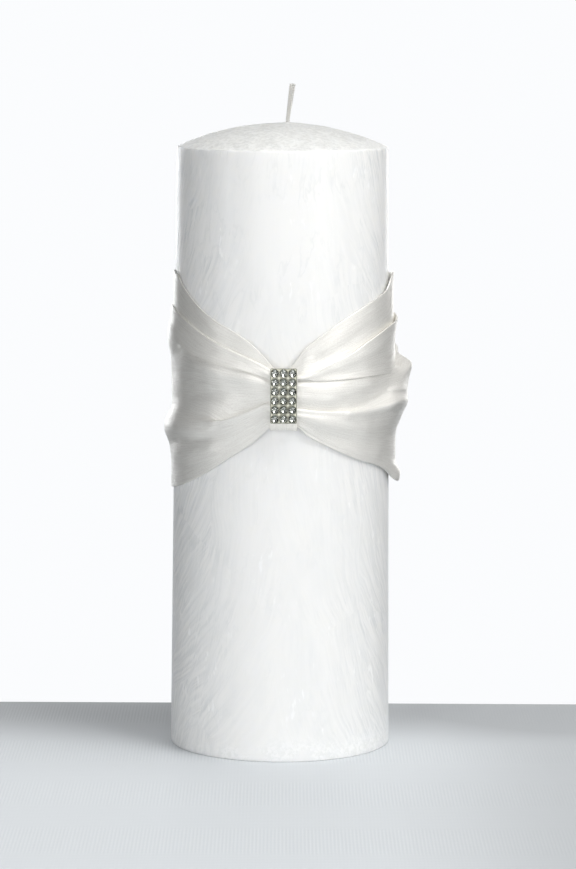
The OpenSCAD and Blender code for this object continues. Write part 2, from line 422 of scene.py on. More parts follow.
def wax_side_colour(shade, place, crystals, tone, sideways):
    """White crystals with clear, darker wax between them, and frost at the foot. The darker wax is
    partly its own tone and partly painted shade, which grows towards the sides.
    """
    z = shade.split(place)[2]
    gaps = shade.range(shade.noise(place, 75, 3, 0.6), 0.48, 0.66)
    clear = shade.times(shade.times(gaps, sideways), shade.range(crystals, 0.6, 0.1))
    specks = shade.range(shade.noise(shade.stretch(place, 1, 1, 0.3), 520, 2, 0.6), 0.60, 0.70)
    flecks = shade.times(specks, shade.range(shade.noise(place, 60, 2), 0.5, 0.65))
    cloud = shade.range(shade.noise(shade.stretch(place, 1, 1, 0.4), 70, 3, 0.6), 0.45, 0.66)
    frost_patches = shade.range(shade.noise(place, 85, 2), 0.42, 0.56)
    frost = shade.times(shade.range(z, 11 * MM, 2 * MM, 0, 0.7), frost_patches)
    frost_grain = shade.range(shade.noise(place, 800, 3, 0.7), 0.42, 0.58)

    # Painted shade: the darker wax between the crystals is strongest towards the sides
    strength = shade.times(sideways, shade.range(z, 140 * MM, 185 * MM, 0.9, 0.4))
    shadow = shade.times(shade.minus(1, crystals), strength)
    side = shade.blend(shadow, (0.925, 0.922, 0.91), (0.76, 0.77, 0.772))
    side = shade.blend(shade.times(clear, 0.6), side, (0.66, 0.685, 0.69))
    side = shade.blend(shade.times(tone, 0.18), side, (0.90, 0.898, 0.885))
    side = shade.blend(shade.times(cloud, 0.4), side, (0.85, 0.858, 0.855))
    side = shade.blend(flecks, side, (0.985, 0.985, 0.978))
    side = shade.blend(wax_veins(shade, place, z), side, (0.735, 0.752, 0.755))
    frosting = shade.blend(frost_grain, (0.86, 0.868, 0.855), (0.975, 0.975, 0.968))
    return shade.blend(frost, side, frosting)


def dome_colour(shade, place):
    """Coarse grains and pits that run out from the wick: the mix of the grains, and the colour. The
    dark grains are partly their own tone and partly painted shade, and the dark pits painted shade.
    """
    around_wick = shade.vector("SUBTRACT", place, (WICK_X, 0, 0))
    x, y, _ = shade.split(around_wick)
    bearing = shade.math("ARCTAN2", y, x)
    reach = shade.vector("LENGTH", shade.stretch(around_wick, 1, 1, 0), out=1)
    spokes = shade.combine(shade.times(bearing, 9), shade.times(reach, 0.22 / MM), 0)
    rays = shade.noise(spokes, 1, 3, 0.6)
    pick = shade.split(shade.cells(place, 1000).outputs["Color"])[0]
    grit = shade.noise(place, 900, 4, 0.75)
    grains = shade.plus(shade.times(pick, 0.22), shade.plus(shade.times(grit, 0.5), shade.times(rays, 0.5)))
    grains = shade.range(grains, 0.38, 0.78)
    # The darker grain tones are partly the wax's own tone and partly painted shade between the grains
    top = shade.blend(grains, (0.70, 0.705, 0.69), (0.86, 0.865, 0.85))
    # Painted shade in the pits
    pit_shade = shade.range(shade.noise(place, 1000, 3, 0.7), 0.58, 0.7)
    return grains, shade.blend(shade.times(pit_shade, 0.5), top, (0.58, 0.585, 0.57))


def wax_material():
    """Palm wax: crystal fans on the side, a grainy dome, and light that scatters inside."""
    shade = Shade("palm_wax")
    place = shade.place()
    x, _, z = shade.split(place)
    big, tone = crystal_fans(shade, place, 20 * MM, 2.2, 0.5, 1)
    small, _ = crystal_fans(shade, place, 9 * MM, 2.6, 0.48, 7)
    crystals = shade.range(shade.plus(shade.times(big, 0.66), shade.times(small, 0.34)), 0.36, 0.64)
    # Painted shade: the crystals and the darker wax between them show least at the front, where the light
    # washes them out, and most at the sides
    sideways = shade.range(shade.math("ABSOLUTE", x), 10 * MM, 35 * MM, 0.14, 1.0)
    side = wax_side_colour(shade, place, crystals, tone, sideways)
    grains, top = dome_colour(shade, place)

    # The side meets the dome in a ragged line, with a pale edge line in places
    ragged = shade.plus(z, shade.times(shade.noise(place, 230, 3), 1.1 * MM))
    on_dome = shade.range(ragged, RIM_Z + 0.35 * MM, RIM_Z + 0.8 * MM)
    rim = shade.times(
        shade.range(ragged, RIM_Z - 0.2 * MM, RIM_Z + 0.4 * MM),
        shade.range(ragged, RIM_Z + 1.3 * MM, RIM_Z + 0.8 * MM),
    )
    pale_rim_line = shade.times(rim, shade.range(shade.noise(place, 120, 2), 0.48, 0.66, 0.05, 0.5))
    colour = shade.blend(pale_rim_line, shade.blend(on_dome, side, top), (0.90, 0.90, 0.89))

    fibre_relief = shade.times(crystals, shade.times(sideways, 0.8))
    relief = shade.plus(fibre_relief, shade.times(shade.times(on_dome, grains), 3.0))
    shade.set(
        Base_Color=colour,
        Roughness=shade.range(crystals, 0, 1, 0.50, 0.38),
        Subsurface_Weight=0.35,
        Subsurface_Radius=(1.0, 0.95, 0.85),
        Subsurface_Scale=0.003,
        IOR=1.44,
        Specular_IOR_Level=0.45,
        Coat_Weight=0.16,
        Coat_Roughness=0.22,
        Sheen_Weight=0.12,
        Sheen_Roughness=0.25,
        Sheen_Tint=(0.88, 0.94, 1.0),
        Normal=shade.bump(relief, 0.06 * MM, 0.8),
    )
    return shade.material


# ---- Wick ----


WICK_ROOT_Z = WAX_TOP - 2 * MM
WICK_BEND_Z = WAX_TOP + 0.8 * MM
WICK_UPRIGHT = WICK_BEND_Z - WICK_ROOT_Z
WICK_LEANING = (WICK_TIP - WICK_BEND_Z) / math.cos(WICK_LEAN) - 0.4 * MM
PLAIT = 2.6 * MM


def wick_axis(f):
    """Middle of the free wick: straight out of the wax, then over to the right."""
    s = f * (WICK_UPRIGHT + WICK_LEANING)
    if s < WICK_UPRIGHT:
        return Vector((WICK_X, 0, WICK_ROOT_Z + s))
    way = Vector((math.sin(WICK_LEAN), 0, math.cos(WICK_LEAN)))
    return Vector((WICK_X, 0, WICK_BEND_Z)) + way * (s - WICK_UPRIGHT)


def make_wick(material):
    """Three plaited cotton strands in a skin of wax, cut square at the top."""
    strands, rows, sides = 3, 150, 12
    points = []
    faces = []
    reach = (wick_axis(1) - wick_axis(0)).length
    for n in range(strands):
        base = len(points)
        for i in range(rows + 1):
            f = i / rows
            centre = wick_axis(f)
            phase = 2 * math.pi * (f * reach / PLAIT + n / strands)
            grow = 0.62 + 0.52 * f
            dx = 0.52 * MM * grow * math.sin(phase)
            dy = 0.34 * MM * grow * math.sin(2 * phase)
            for k in range(sides):
                a = 2 * math.pi * k / sides
                r = 0.47 * MM * grow * (1 + 0.10 * noise.noise(Vector((k * 0.9, n * 5, f * 60))))
                x = centre.x + dx + r * math.cos(a)
                y = centre.y + dy + r * math.sin(a)
                points.append((x, y, centre.z - 0.1 * MM * math.sin(a + phase)))
        faces += [tuple(base + v for v in face) for face in grid_faces(rows + 1, sides, wrap=True)]
        faces.append(ring_face(base, sides, flipped=True))
        faces.append(ring_face(base + rows * sides, sides))
    wick = make_piece("braided_wick", points, faces, material, "candle")
    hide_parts("wick")


def wick_material():
    """Cotton fibres, greyed a little by the wax and darker overall as painted shade."""
    shade = Shade("waxed_cotton")
    place = shade.place()
    fibres = shade.noise(shade.stretch(place, 5200, 5200, 900), 1.0, 3, 0.6)
    stain = shade.noise(place, 300, 2)
    # The fibre colours are darker than white cotton as painted shade for the wick's shaded side
    colour = shade.blend(fibres, (0.62, 0.61, 0.58), (0.86, 0.855, 0.83))
    colour = shade.blend(shade.times(stain, 0.25), colour, (0.66, 0.635, 0.58))
    shade.set(
        Base_Color=colour,
        Roughness=0.55,
        Subsurface_Weight=0.25,
        Subsurface_Radius=(1.0, 0.9, 0.8),
        Subsurface_Scale=0.0008,
        Normal=shade.bump(fibres, 0.12 * MM, 0.7),
    )
    return shade.material


# ---- Sash ----

SASH_START = -190.0
SASH_END = 178.0

# Each feature runs round the candle from SASH_START, the outer end of the cloth at the back, past
# the ornament at 0 degrees to SASH_END, the inner end. A key is (angle, height, lift), or for a tuck
# (angle, height, lift of the edge, depth, lift inside). Angles are from the front, in degrees,
# and the rest in millimetres, lifts from the wax. A tuck of negative depth lies open.

TOP_EDGE = [
    (-190, 163, 0.9), (-150, 162.6, 0.8), (-120, 162.8, 0.7), (-100, 163.8, 0.7), (-88, 164.4, 0.7),
    (-73, 163.6, 0.7), (-66, 160.9, 0.7), (-58, 157.6, 0.6), (-46, 152.7, 0.6), (-34, 148.7, 0.6),
    (-26, 146.4, 0.7), (-18, 143.5, 0.9), (-10, 139.1, 1.4), (-6, 136.2, 1.8), (-3, 134.2, 1.9),
    (0, 133.5, 1.9), (3.5, 134.2, 1.9), (6.5, 136.4, 1.8), (11, 140.3, 1.3), (21, 145.2, 0.8),
    (32, 149.5, 0.7), (46, 153.6, 0.6), (59, 156.4, 0.8), (70, 158.7, 1.3), (78, 162.7, 1.7),
    (88, 164.2, 1.7), (100, 163.4, 1.3), (120, 162.4, 0.8), (150, 163, 0.8), (178, 162.8, 0.6),
]
UPPER_TUCK = [
    (-190, 151, 1.5, 1.8, 0.8), (-150, 151.5, 1.3, 1.8, 0.7), (-120, 153, 1.3, 1.6, 0.7),
    (-88, 152.6, 1.1, 0.9, 0.7), (-75, 151.4, 1.1, 1.2, 0.6), (-61, 149, 1.1, 1.4, 0.5),
    (-47, 145.2, 1, 1.4, 0.5), (-36, 142.3, 1.1, 1.4, 0.5), (-21, 138.6, 1.4, 1.2, 0.7),
    (-10, 135.6, 2.2, 0.8, 1.4), (-6, 134, 2.6, 0.5, 1.8), (0, 132.2, 2.5, 0.4, 1.7),
    (9, 131.6, 2.8, 0.5, 1.8), (16, 132.8, 2.4, 1.4, 1.3), (23, 135, 2.1, 2.2, 0.9),
    (31, 137, 1.9, 2.8, 0.7), (39, 139, 1.8, 3.2, 0.7), (49, 142, 1.8, 3.6, 0.7),
    (68, 146.1, 2.3, 4, 1), (88, 148.3, 3.1, 4, 1.6), (100, 149.4, 2.8, 3, 1.5),
    (120, 150, 2, 2.4, 0.8), (150, 149, 1.7, 2, 0.7), (178, 148.4, 1.5, 2, 0.5),
]
UPPER_PANEL = [
    (-190, 146, 1.9), (-150, 146.5, 1.7), (-120, 147.8, 1.8), (-88, 147.4, 1.7), (-75, 147, 1.7),
    (-61, 144.2, 1.5), (-47, 141.2, 1.3), (-36, 139, 1.4), (-21, 136.4, 1.7), (-10, 134, 2.5),
    (-6, 132.8, 2.9), (0, 131.4, 2.8), (9, 131.2, 3), (16, 131.7, 2.5), (23, 132.7, 1.9),
    (31, 133.7, 1.6), (39, 134.8, 1.5), (49, 136.4, 1.5), (68, 138.6, 1.8), (88, 140.4, 2.2),
    (100, 143, 2.6), (120, 144.4, 2.4), (150, 143.6, 1.9), (178, 143, 1.6),
]
MIDDLE_TUCK = [
    (-190, 136, 1.8, -3.6, 0.9), (-150, 136, 1.8, -3.4, 0.8), (-120, 137.4, 2.1, -4, 0.8),
    (-88, 141.8, 2.4, -6.6, 1.4), (-76, 141.8, 2.4, -5.8, 1.2), (-68, 141.4, 2.3, -2.6, 1),
    (-61, 139.8, 2.2, 1.6, 0.8), (-50, 137.6, 2.2, 2.6, 0.7), (-36, 135.8, 2.2, 2.6, 0.7),
    (-21, 134, 2.5, 2, 1), (-10, 132, 2.7, 1, 1.7), (-6, 131.3, 3, 0.6, 2),
    (0, 130.4, 2.8, 0.4, 1.8), (9, 130.8, 2.9, 0.6, 1.9), (20, 130.2, 2.3, 1.8, 1.1),
    (35, 130.3, 2.1, 2.4, 0.9), (53, 130.6, 2.1, 2.8, 0.9), (70, 130.2, 2.1, 3, 0.9),
    (80, 129.8, 2.1, 3, 1), (88, 130, 2.3, 2, 1.2), (93, 133.6, 2.2, 0.6, 1.7),
    (100, 137, 2.6, -1.6, 4.2), (112, 138.8, 3, -2.8, 4.6), (130, 138.6, 2.4, -3, 2.4),
    (150, 137.4, 1.9, -3, 1.6), (178, 136.4, 1.6, -3, 1.2),
]
SHOULDER = [
    (-190, 131, 1), (-150, 131, 0.9), (-120, 131.4, 0.9), (-88, 130.6, 1.1), (-76, 131.4, 0.9),
    (-60, 133.4, 1.2), (-48, 133, 1.8), (-36, 132.2, 2.1), (-21, 130.8, 2.4), (-10, 129.6, 2.8),
    (0, 128, 2.6), (9, 128.4, 2.8), (20, 127.9, 2.2), (35, 127.6, 2), (53, 127.4, 2),
    (70, 127.8, 2.7), (80, 128.2, 4.2), (89, 129.6, 6.4), (98, 131.6, 8.7), (112, 130.8, 6.8),
    (130, 128.6, 3.6), (150, 127.4, 2), (178, 126.6, 1.3),
]
MIDDLE_PANEL = [
    (-190, 125, 1.2), (-150, 125, 1.2), (-120, 124.4, 1.1), (-88, 122.8, 0.9), (-76, 123.2, 0.8),
    (-60, 125.4, 0.7), (-48, 126.2, 0.8), (-36, 126.2, 1), (-21, 126, 1.6), (-10, 126.2, 2.6),
    (0, 125.4, 2.7), (9, 125.2, 2.9), (20, 124.4, 2.4), (35, 123.8, 2.2), (53, 124, 2),
    (64, 125.4, 2.5), (74, 126.2, 4), (86, 126.4, 6), (98, 125.8, 7.4), (112, 125, 5.8),
    (130, 123.6, 3.2), (150, 122.8, 1.9), (178, 122.4, 1.3),
]
LOWER_TUCK = [
    (-190, 115, 1.9, -2.6, 1.1), (-150, 114.6, 1.9, -2.6, 1.1), (-120, 114.2, 2, -3.4, 1),
    (-88, 113.6, 2.5, -4.4, 0.9), (-76, 114.6, 2.3, -4.6, 0.9), (-62, 115.2, 2.2, -4, 1),
    (-50, 115.2, 2.2, -3.2, 1.1), (-40, 115.6, 2.3, -1.8, 1.1), (-33, 116, 2.5, 0.4, 1),
    (-25, 117.5, 2.8, 1.9, 0.9), (-14, 120.6, 3, 2, 1.2), (-6, 122.8, 3, 0.8, 2),
    (0, 122.4, 2.9, 0.5, 1.9), (9, 120.8, 2.9, 0.7, 1.9), (25, 119.5, 2.5, 0.6, 1.3),
    (40, 119.2, 2.3, -0.6, 1.2), (50, 119.6, 2.6, -1.6, 1.3), (57, 120.2, 3.5, -2.4, 1.6),
    (63, 120.8, 4.9, -2.8, 2.4), (69, 121.3, 6, -3, 4), (76, 121.2, 6.7, -2.8, 5.4),
    (84, 120.6, 6.8, -2.6, 6.4), (98, 118.8, 6.2, -2.6, 6.7), (112, 117.6, 4.8, -2, 4.2),
    (130, 116.4, 3, -1.6, 2.3), (150, 115.6, 2, -1.4, 1.5), (178, 115, 1.5, -1.2, 1),
]
LOWER_RIDGE = [
    (-190, 111, 1.9), (-150, 110.6, 1.9), (-120, 110.4, 2.2), (-88, 109.4, 3.1), (-76, 110.6, 3),
    (-62, 111.6, 2.7), (-50, 111.8, 2.5), (-40, 112.4, 2.3), (-32, 113.6, 2.1), (-24, 115.4, 2.1),
    (-14, 118.4, 2.4), (-6, 120.6, 3), (0, 120, 2.9), (9, 118.9, 2.9), (25, 117, 2.4),
    (40, 116, 2.1), (52, 115.6, 2.1), (60, 116, 2.7), (68, 116.6, 3.9), (76, 116.4, 4.7),
    (84, 115.6, 4.8), (98, 113.8, 4.5), (112, 112.6, 4), (130, 111.4, 2.7), (150, 110.6, 1.9),
    (178, 110, 1.4),
]
LOWER_PANEL = [
    (-190, 105, 1.3), (-150, 105, 1.2), (-120, 105, 1.2), (-88, 103.6, 1.4), (-76, 105, 1.1),
    (-62, 107.4, 1), (-51, 108, 1), (-36, 109.2, 1.2), (-25, 111.4, 1.4), (-14, 115.2, 1.9),
    (-6, 118.2, 2.7), (0, 118, 2.7), (9, 117, 2.6), (25, 112.6, 1.6), (46, 109.2, 1.2),
    (61, 107.8, 1.2), (75, 107.2, 1.6), (84, 107.4, 2.2), (92, 108, 2.5), (100, 107.6, 2.5),
    (112, 106.6, 2.2), (130, 105.6, 1.8), (150, 104.6, 1.5), (178, 104, 1.2),
]
SKIRT = [
    (-190, 98, 1), (-150, 98, 0.9), (-120, 98, 0.9), (-88, 97.8, 0.8), (-76, 98, 0.8),
    (-62, 99.2, 0.8), (-51, 101.4, 0.8), (-36, 104.4, 0.9), (-25, 107.6, 1), (-14, 112.2, 1.4),
    (-6, 116.4, 2.4), (0, 116.6, 2.5), (9, 115.6, 2.3), (25, 109.4, 1.1), (46, 105, 1.1),
    (61, 103, 1.2), (75, 100.8, 1.8), (89, 99, 2.4), (98, 98.6, 2.3), (112, 98.2, 1.7),
    (130, 97.8, 1.3), (150, 97.4, 1.1), (178, 97, 0.9),
]
FOOT_EDGE = [
    (-190, 89.8, 0.9), (-150, 90.2, 0.8), (-120, 89.8, 0.7), (-88, 89.4, 0.7), (-71, 90.9, 0.7),
    (-53, 94.4, 0.7), (-44, 97.1, 0.7), (-33, 101.2, 0.8), (-26, 104.2, 0.9), (-13.5, 109.6, 1.2),
    (-5, 114.6, 1.8), (0, 115.2, 2), (8.5, 114.4, 1.9), (13, 111.8, 1.4), (21, 108.8, 1),
    (31, 105.6, 0.8), (46, 101.8, 0.8), (60, 99.2, 0.9), (70, 96.6, 1.2), (77, 93.9, 1.8),
    (82, 92.3, 2.8), (88, 91.6, 3.3), (95, 91.8, 2.8), (103, 92, 1.8), (116, 91, 1.2),
    (130, 90.4, 0.9), (150, 90.4, 0.9), (178, 90, 0.7),
]

CLOTH_T = 0.2 * MM
CLOTH_MEAN_R = 38.5 * MM
SASH_MIDDLE = 125.0
# In millimetres: gap between the layers of a fold, width of a hem, curl of the skirt's tip, least
# lift from the wax, spacing of the points down the cloth, step where one end lies over the other
PLY = 0.36
HEM = 4.0
TIP_CURL = 0.9
LEAST_LIFT = 0.28
POINT_SPACING = 0.62
OVERLAP_STEP = 0.46
TIP_ANGLE = 88
SEAM_ANGLE = -187.0
STITCHES = 14
STITCH = 2.8 * MM
STITCH_R = 0.18 * MM


def key_columns(keys, angles):
    """Each column of a feature's keys as a smooth curve over the angles."""
    table = np.array(keys, dtype=float)
    return [smooth_curve(table[:, 0], table[:, i], angles) for i in range(1, table.shape[1])]


def hem_lines(keys, angles, turned):
    """A folded edge: the turning inside, then its two sides. turned is -1 at the top, 1 below."""
    height, lift = key_columns(keys, angles)
    pinch = np.clip((np.abs(angles) - 4) / 14, 0.12, 1)
    inside = (height + turned * HEM * pinch, np.maximum(lift - PLY, 0.3))
    edge = (height + turned * 0.12, np.maximum(lift - PLY, 0.3) + 0.08)
    outside = (height + turned * 0.12, lift)
    return [inside, edge, outside]


def curled_tip(angles):
    """A line a third of the way up the skirt, which stands out where the tip curls."""
    low, low_lift = key_columns(FOOT_EDGE, angles)
    high, high_lift = key_columns(SKIRT, angles)
    curl = TIP_CURL * np.exp(-(((angles - TIP_ANGLE) / 9) ** 2))
    return low + (high - low) * 0.35, low_lift + (high_lift - low_lift) * 0.35 + curl


def tuck_lines(keys, angles, over):
    """A knife pleat as four lines down the cloth. over is 1 where the cloth below lies on top of
    the cloth above, and -1 where it lies under it. A depth below 0 is a pleat that has opened."""
    height, lift, depth, inner = key_columns(keys, angles)
    closed = np.clip(depth / 1.5, 0, 1)
    ply = closed * PLY
    spread = 0.25 * (1 - closed)
    ease = np.where(depth < 0, spread * (lift - inner) / np.maximum(-depth, 1.2), 0)
    if over > 0:
        return [
            (height - depth + spread, inner),
            (height - depth - spread, inner + ply),
            (height + spread, np.maximum(lift - ply, inner) - ease),
            (height - spread, lift + ease),
        ]
    return [
        (height + spread, lift),
        (height - spread, np.maximum(lift - ply, inner)),
        (height + depth + spread, inner + ply + ease),
        (height + depth - spread, inner - ease),
    ]


def sash_lines(angles):
    """(height, lift) of every line down the cloth, in millimetres, at each angle."""
    lines = hem_lines(TOP_EDGE, angles, -1)
    lines += tuck_lines(UPPER_TUCK, angles, 1)
    lines.append(key_columns(UPPER_PANEL, angles))
    lines += tuck_lines(MIDDLE_TUCK, angles, -1)
    lines += [key_columns(keys, angles) for keys in (SHOULDER, MIDDLE_PANEL)]
    lines += tuck_lines(LOWER_TUCK, angles, 1)
    lines += [key_columns(keys, angles) for keys in (LOWER_RIDGE, LOWER_PANEL, SKIRT)]
    lines.append(curled_tip(angles))
    lines += reversed(hem_lines(FOOT_EDGE, angles, 1))
    return np.array(lines)


# Soft ridges (+) and valleys (-) in the panels: points (angle, height), half width, rise
WRINKLES = [
    ([(-98, 119.2), (-76, 120.6), (-58, 123.2), (-42, 124.6), (-18, 124.4)], 2, -0.4),
    ([(-88, 129.8), (-62, 128.8), (-38, 129.2)], 3.6, -0.4),
    ([(-58, 135), (-42, 133.4), (-20, 131.2), (-6, 129.8)], 1.8, 0.45),
    ([(-62, 131), (-44, 127.6), (-24, 127.6)], 2.6, 0.22),
    ([(-104, 110.2), (-78, 110.8), (-58, 112.4), (-40, 113.6)], 2.2, 0.25),
    ([(-84, 106.4), (-66, 107.4), (-46, 109.6), (-22, 114)], 2.4, -0.22),
    ([(-84, 100), (-56, 103.2), (-28, 108.6)], 2.8, 0.4),
    ([(-84, 158), (-60, 153.2), (-30, 145)], 2, 0.22),
    ([(-94, 146.8), (-66, 144.2), (-36, 139.8)], 1.9, 0.25),
    ([(7, 135.4), (22, 141), (44, 149.5), (70, 155.4)], 2.6, 0.24),
    ([(12, 134.4), (26, 138.6), (40, 143.4), (60, 149)], 1.9, -0.3),
    ([(10, 132.4), (26, 134), (46, 138), (74, 141.8)], 2.2, 0.28),
    ([(18, 131.2), (38, 132.4), (66, 133.4)], 1.6, -0.2),
    ([(10, 127), (32, 127), (60, 127.6)], 2.8, 0.24),
    ([(24, 122.6), (44, 123.4), (60, 125.4)], 2, -0.34),
    ([(26, 118.6), (44, 118.6), (60, 119.6), (74, 121)], 2, 0.45),
    ([(7, 118.4), (28, 114.6), (58, 111.6)], 2.4, 0.35),
    ([(12, 113.6), (30, 109.6), (64, 105)], 2.2, -0.28),
    ([(60, 104), (78, 100), (92, 98)], 2.8, -0.4),
    ([(98, 155.6), (128, 156.4), (160, 155.8)], 2.2, -0.25),
    ([(102, 144.8), (132, 145.4), (168, 143.6)], 2, 0.35),
    ([(112, 121.4), (140, 119.6), (172, 118.8)], 2.4, 0.4),
    ([(108, 101.6), (136, 102.4), (170, 101)], 2.6, -0.35),
    ([(-168, 156.8), (-150, 157.4), (-112, 157.8)], 2.2, 0.28),
    ([(-168, 141.8), (-150, 142.4), (-116, 144)], 2.2, -0.32),
    ([(-168, 120.8), (-150, 119.8), (-116, 118.6)], 2.4, -0.38),
    ([(-168, 101.8), (-148, 102.2), (-112, 100.8)], 2.6, 0.34),
]


def crease(angle, height, route, width, rise):
    """Height of one soft crease along a route of (angle, height) points."""
    arc = math.radians(1) * wax_radius(SASH_MIDDLE * MM) / MM
    nearest = np.full_like(angle, 1e9)
    along = np.zeros_like(angle)
    total = sum(math.hypot((b[0] - a[0]) * arc, b[1] - a[1]) for a, b in zip(route, route[1:]))
    done = 0.0
    for (a0, z0), (a1, z1) in zip(route, route[1:]):
        dx, dz = (a1 - a0) * arc, z1 - z0
        px, pz = (angle - a0) * arc, height - z0
        t = np.clip((px * dx + pz * dz) / (dx * dx + dz * dz), 0, 1)
        away = np.hypot(px - t * dx, pz - t * dz)
        here = (done + t * math.hypot(dx, dz)) / total
        along = np.where(away < nearest, here, along)
        nearest = np.minimum(nearest, away)
        done += math.hypot(dx, dz)
    fade = eased(np.minimum(along, 1 - along) / 0.22)
    return rise * fade * np.exp(-((nearest / width) ** 2))


def wrinkle_lift(angle, height):
    """Lift, in millimetres, that the creases add at a place."""
    return sum(crease(angle, height, *wrinkle) for wrinkle in WRINKLES)


def sash_angles():
    """Angles of the sections down the cloth, closest together at the gather."""
    angles = []
    a = SASH_START
    while a < SASH_END + 0.01:
        angles.append(a)
        a += 0.55 + 0.75 * (min(abs(a), 60) / 60)
    return np.array(angles)


def sash_sections(angles):
    """Heights and lifts of the cloth, with a row for each angle and a column for each point down
    the cloth. Then each column's place among the lines, and its distance across the flat strip."""
    lines = sash_lines(angles)
    # The outer end takes the shape of the inner end that it lies over
    follow = eased((-angles - 156) / 18)
    lines += (sash_lines(np.minimum(angles + 360, SASH_END)) - lines) * follow
    spans = np.hypot(np.diff(lines[:, 0], axis=0), np.diff(lines[:, 1], axis=0)).max(axis=1)
    counts = [max(2, int(round(s / POINT_SPACING))) for s in spans]
    picks = [i + k / n for i, n in enumerate(counts) for k in range(n)]
    picks = np.array(picks + [len(counts)])
    heights = np.zeros((len(angles), len(picks)))
    lifts = np.zeros_like(heights)
    for r in range(len(angles)):
        z, lift = lines[:, 0, r], lines[:, 1, r]
        chord = np.hypot(np.diff(z), np.diff(lift)) + 0.05
        along = np.concatenate([[0], np.cumsum(chord)])
        at = np.interp(picks, np.arange(len(along)), along)
        heights[r] = smooth_curve(along, z, at)
        lifts[r] = smooth_curve(along, lift, at)
    widths = np.repeat([s / n for s, n in zip(spans, counts)], counts)
    return heights, lifts, picks, np.concatenate([[0], np.cumsum(widths)])


def rippled(angles, heights, lifts, picks):
    """The lifts with creases, slack and a crimp at the gather, where the cloth has room for them."""
    creases = wrinkle_lift(np.repeat(angles[:, None], len(picks), axis=1), heights)
    slack = np.zeros_like(lifts)
    crimp = np.zeros_like(lifts)
    for r, angle in enumerate(angles):
        turn = math.radians(angle)
        pinch = math.exp(-max(0.0, abs(angle - 1) - 7) / 13)
        for c, height in enumerate(heights[r]):
            slack[r, c] = noise.noise(Vector((math.sin(turn) * 3.4, math.cos(turn) * 3.4, height / 11)))
            crimp[r, c] = pinch * noise.noise(Vector((picks[c] * 1.7, angle / 26, 3.3)))
    room = np.clip((lifts - 0.35) / 0.6, 0, 1)
    return np.maximum(lifts + room * (creases + 0.16 * slack + 0.22 * crimp), LEAST_LIFT)


def make_sash(material):
    """The sash. Gives the (radius, height) points of its section at the seam."""
    angles = sash_angles()
    heights, lifts, picks, across = sash_sections(angles)
    lifts = rippled(angles, heights, lifts, picks)
    # The outer end lies over the inner one at the back
    lifts = lifts + eased((-angles - 168) / 9)[:, None] * OVERLAP_STEP
    turn = np.radians(angles)[:, None]
    z = heights * MM
    radius = wax_radius(z) + lifts * MM
    points = np.stack([radius * np.sin(turn), -radius * np.cos(turn), z], axis=-1)
    length = np.radians(angles - angles[0]) * CLOTH_MEAN_R
    uv = np.stack(np.meshgrid(length, across * MM, indexing="ij"), axis=-1).reshape(-1, 2)
    faces = grid_faces(*heights.shape)
    sash = make_piece("satin_sleeve", points.reshape(-1, 3), faces, material, "sash", uv=uv)
    thicken(sash, CLOTH_T)
    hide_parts("satin_sash")
    seam_row = int(np.argmin(np.abs(angles - SEAM_ANGLE)))
    return [(math.hypot(x, y), z) for x, y, z in points[seam_row]]


def cloth_radius(section, z):
    """Outermost radius of a section of the cloth at a height."""
    best = 0.0
    for (r0, z0), (r1, z1) in zip(section, section[1:]):
        if z0 != z1 and min(z0, z1) <= z <= max(z0, z1):
            best = max(best, r0 + (r1 - r0) * (z - z0) / (z1 - z0))
    return best


def make_stitches(section, material):
    """Running stitches that close the sash at the back, each dipping into the cloth at its ends."""
    low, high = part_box("seam_stitches")
    pitch = (high[2] - low[2] - STITCH) / (STITCHES - 1)
    steps, sides = 10, 8
    points = []
    faces = []
    for n in range(STITCHES):
        base = len(points)
        for i in range(steps + 1):
            f = i / steps
            z = low[2] + n * pitch + STITCH * f
            dip = abs(2 * f - 1) ** 4
            r = cloth_radius(section, z) + CLOTH_T / 2 + STITCH_R * (0.55 - 1.6 * dip)
            thick = STITCH_R * (1 - 0.35 * dip) * (1 + 0.12 * math.sin(f * 38 + n))
            turn = math.radians(SEAM_ANGLE) + 0.10 * MM * math.sin(n * 2.4) * (f - 0.5) / r
            centre = Vector((r * math.sin(turn), -r * math.cos(turn), z))
            out = Vector((math.sin(turn), -math.cos(turn), 0))
            side = Vector((math.cos(turn), math.sin(turn), 0))
            for k in range(sides):
                a = 2 * math.pi * k / sides
                points.append(centre + (out * math.cos(a) + side * math.sin(a)) * thick)
        faces += [tuple(base + v for v in face) for face in grid_faces(steps + 1, sides, wrap=True)]
        faces.append(ring_face(base, sides, flipped=True))
        faces.append(ring_face(base + steps * sides, sides))
    stitches = make_piece("back_seam_stitches", points, faces, material, "sash")
    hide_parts("seam_stitches")


